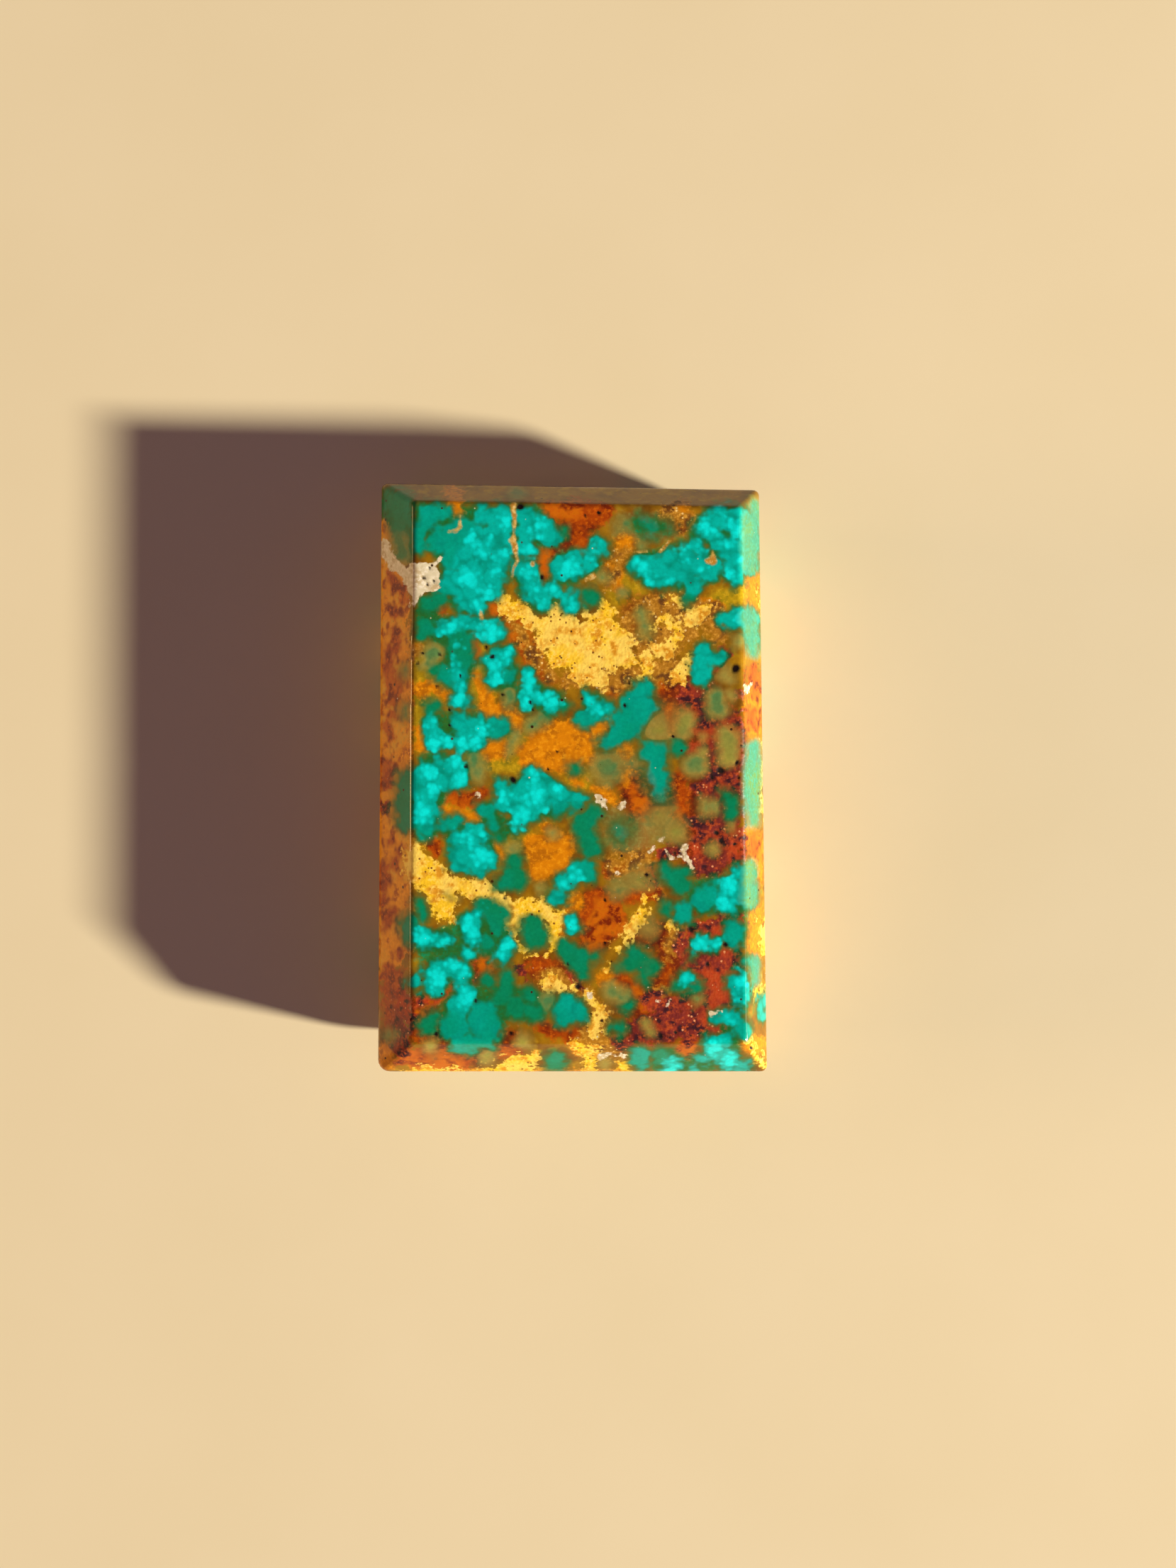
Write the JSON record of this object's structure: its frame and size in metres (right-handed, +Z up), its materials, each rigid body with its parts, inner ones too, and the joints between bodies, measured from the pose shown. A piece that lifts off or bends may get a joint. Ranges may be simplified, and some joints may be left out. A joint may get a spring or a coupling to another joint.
{
  "type": "bevelled turquoise tablet",
  "caption": "Rectangular tablet of polished turquoise in brown matrix, with a flat table, bevelled crown and flat back, for a bezel setting or a mineral display.",
  "frame": {"origin": "middle of the flat back, under the centre of the tablet's outline", "axes": "+Z up out of the table, +Y along the tablet towards its narrower head, +X across it to the right"},
  "size_m": [0.02, 0.0302, 0.0074],
  "materials": {
    "polished_turquoise": "polished turquoise nodules in ochre, cream and red-brown matrix, satin to glossy"
  },
  "bodies": {
    "root": {"turquoise_tablet": "polished_turquoise"}
  },
  "joints": []
}
